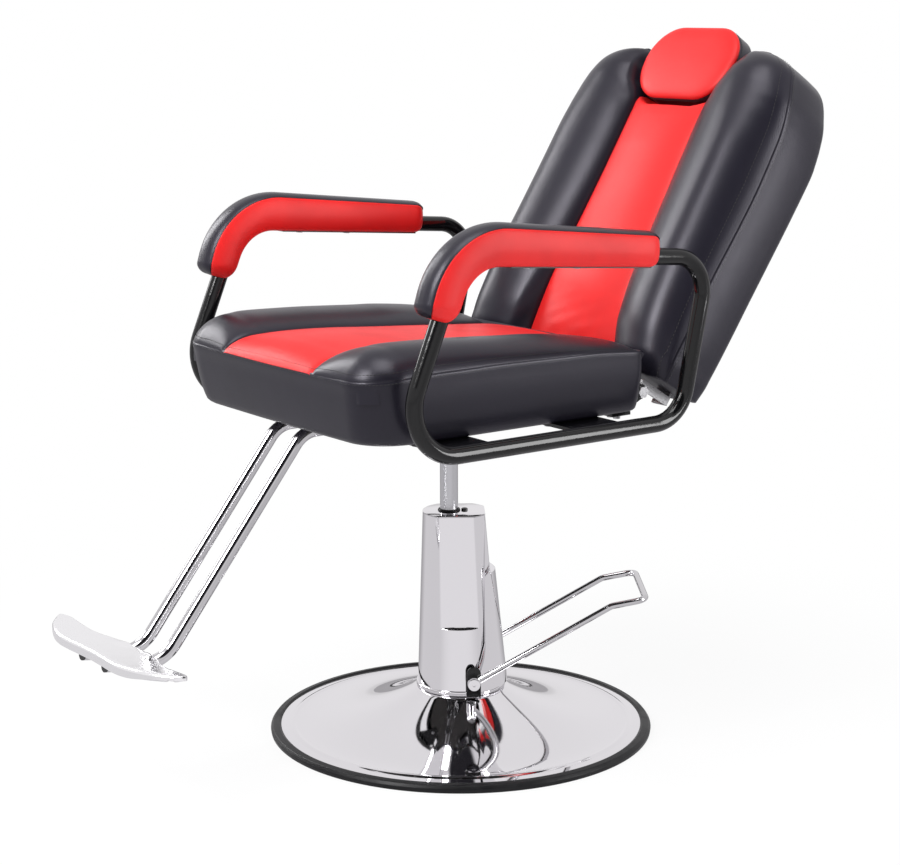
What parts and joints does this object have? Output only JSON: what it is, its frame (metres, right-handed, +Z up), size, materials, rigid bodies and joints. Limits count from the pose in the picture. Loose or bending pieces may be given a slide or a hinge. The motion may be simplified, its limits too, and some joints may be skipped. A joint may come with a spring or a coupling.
{
  "type": "hydraulic barber chair",
  "caption": "Reclining barber chair on a round base: foot-pumped hydraulic lift, swivelling upholstered seat with arms, footrest and raising headrest.",
  "frame": {"origin": "on the floor under the swivel axis", "axes": "+Z up, the chair's front (footrest) towards -Y, the sitter's left hand towards +X"},
  "size_m": [0.6372, 1.211, 1.0783],
  "materials": {
    "black_leather": "satin",
    "red_leather": "satin",
    "black_paint": "gloss",
    "chrome": "polished",
    "steel": "satin",
    "polished_aluminium": "polished",
    "rubber": "matte",
    "plywood": "matte",
    "black_plastic": "matte",
    "bronze": "satin"
  },
  "bodies": {
    "base": {"base_dish": "chrome", "base_edge_ring": "rubber", "base_stiffener": "steel", "pump_flange": "chrome", "flange_bolts": "steel", "pump_cylinder": "steel", "guide_bush": "bronze", "rod_wiper": "rubber", "cover_front": "chrome", "cover_rear": "chrome", "cover_cap": "chrome", "cap_screw": "black_paint", "pedal_ears": "black_paint", "valve_block": "steel", "plunger_spring": "steel"},
    "pedal": {"pump_pedal": "chrome", "pedal_shaft": "steel", "pedal_cam": "steel", "pedal_screws": "steel"},
    "plunger": {"pump_plunger": "steel"},
    "piston": {"piston_rod": "chrome", "piston_head": "steel", "piston_seal": "rubber", "swivel_washer": "bronze"},
    "seat": {"seat_hub": "black_paint", "hub_bush": "bronze", "hub_bolts": "steel", "arm_frame_left": "black_paint", "arm_frame_right": "black_paint", "arm_bolts": "steel", "arm_pad_left": "red_leather", "arm_pad_right": "red_leather", "arm_pad_strip_left": "black_plastic", "arm_pad_strip_right": "black_plastic", "arm_pad_screws": "steel", "seat_board": "plywood", "seat_cushion": "black_leather", "seat_insert": "red_leather", "footrest_tube_left": "chrome", "footrest_tube_right": "chrome", "footrest_clamps": "black_paint", "footrest_bolts": "steel", "footplate": "polished_aluminium", "footplate_screws": "steel", "footrest_plugs": "black_plastic", "hinge_brackets": "black_paint", "hinge_bracket_bolts": "steel", "recline_pins": "steel"},
    "backrest": {"back_board": "plywood", "hinge_arms": "steel", "hinge_arm_screws": "steel", "back_cushion": "black_leather", "back_panel": "red_leather", "back_rear_cover": "black_leather", "headrest_socket": "steel"},
    "headrest": {"headrest_cushion": "red_leather", "headrest_base": "black_leather", "headrest_posts": "chrome"},
    "recline_lever": {"recline_lever": "chrome", "lever_grip": "black_plastic"}
  },
  "joints": [
    {"name": "lift", "type": "slide", "parent": "base", "child": "piston", "axis": [0, 0, 1], "range_m": [-0.08, 0.06]},
    {"name": "swivel", "type": "hinge", "parent": "piston", "child": "seat", "pos_m": [0, 0, 0.446], "axis": [0, 0, 1], "continuous": true},
    {"name": "pump_pedal", "type": "hinge", "parent": "base", "child": "pedal", "pos_m": [0.02065, 0.02949, 0.0945], "axis": [0.8192, -0.5736, 0], "range_deg": [-24, 0], "stiffness_Nm_per_rad": 6, "springref_deg": 28.65},
    {"name": "pump_stroke", "type": "slide", "parent": "base", "child": "plunger", "axis": [0, 0, 1], "range_m": [-0.0095, 0], "deforming": ["plunger_spring"]},
    {"name": "recline", "type": "hinge", "parent": "seat", "child": "backrest", "pos_m": [0, 0.205, 0.545], "axis": [1, 0, 0], "range_deg": [-35, 17]},
    {"name": "headrest_height", "type": "slide", "parent": "backrest", "child": "headrest", "axis": [0, 0.5299, 0.848], "range_m": [0, 0.05]},
    {"name": "recline_release", "type": "hinge", "parent": "seat", "child": "recline_lever", "pos_m": [0, 0.205, 0.545], "axis": [1, 0, 0], "range_deg": [0, 40]}
  ],
  "couplings": [
    {"joint": "pump_stroke", "follows": "pump_pedal", "m_per_rad": 0.022}
  ]
}
